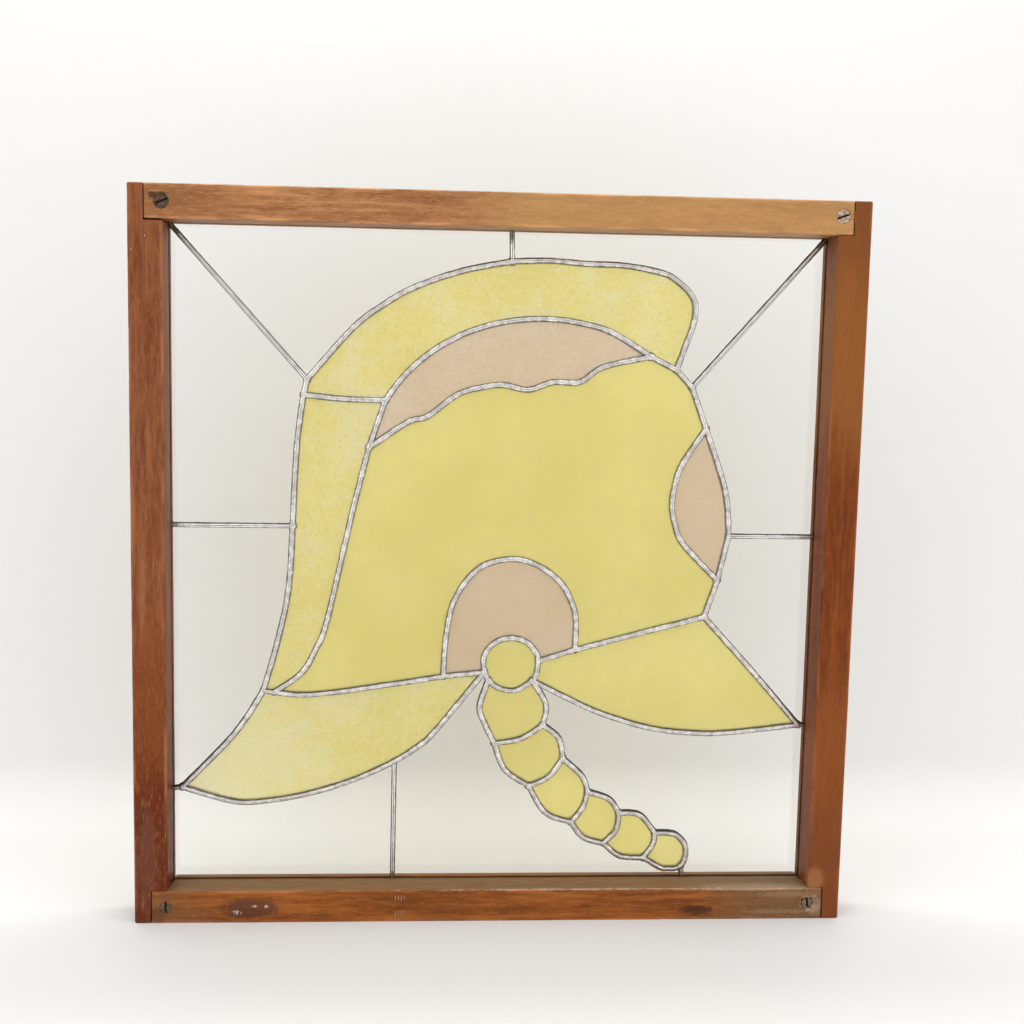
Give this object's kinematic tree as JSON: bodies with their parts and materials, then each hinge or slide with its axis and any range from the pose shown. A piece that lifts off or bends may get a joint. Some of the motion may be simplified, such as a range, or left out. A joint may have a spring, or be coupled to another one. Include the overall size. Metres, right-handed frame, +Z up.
{
  "type": "stained glass window",
  "caption": "Square stained glass window: a fire helmet with its chin chain in coloured glass, soldered seams, in a screwed timber frame.",
  "frame": {"origin": "middle of the underside, at the bottom of the bounding box", "axes": "+Z up, +Y from the front to the back, so the front faces -Y, +X to the right seen from the front"},
  "size_m": [0.5, 0.032, 0.507],
  "materials": {
    "stile_wood": "red-brown varnished hardwood, satin, with fine upright grain",
    "rail_wood": "golden brown varnished hardwood, satin, dark grain streaks, stains and scratches",
    "screw_metal": "old slotted screw heads, tarnished, dull",
    "solder": "tin-lead solder, bright and mottled with a darker edge",
    "clear_glass": "clear polished sheet glass",
    "yellow_glass": "translucent yellow cathedral glass, seedy and crackled in places",
    "pink_glass": "translucent dusky pink cathedral glass, lightly flecked"
  },
  "bodies": {
    "root": {"stile_left": "stile_wood", "stile_right": "stile_wood", "rail_top": "rail_wood", "rail_bottom": "rail_wood", "screw_top_left": "screw_metal", "screw_top_right": "screw_metal", "screw_bottom_left": "screw_metal", "screw_bottom_right": "screw_metal", "solder_lattice": "solder", "glass_clear_left_upper": "clear_glass", "glass_clear_top_left": "clear_glass", "glass_clear_top_right": "clear_glass", "glass_clear_right_upper": "clear_glass", "glass_clear_right_lower": "clear_glass", "glass_clear_bottom_right": "clear_glass", "glass_clear_bottom_middle": "clear_glass", "glass_clear_bottom_left": "clear_glass", "glass_clear_left_lower": "clear_glass", "glass_comb": "yellow_glass", "glass_back_strip": "yellow_glass", "glass_shell": "yellow_glass", "glass_neck_guard": "yellow_glass", "glass_front_peak": "yellow_glass", "glass_boss": "yellow_glass", "glass_chain_link_1": "yellow_glass", "glass_chain_link_2": "yellow_glass", "glass_chain_link_3": "yellow_glass", "glass_chain_link_4": "yellow_glass", "glass_chain_link_5": "yellow_glass", "glass_chain_link_6": "yellow_glass", "glass_crest": "pink_glass", "glass_crescent": "pink_glass", "glass_arch": "pink_glass"}
  },
  "joints": []
}
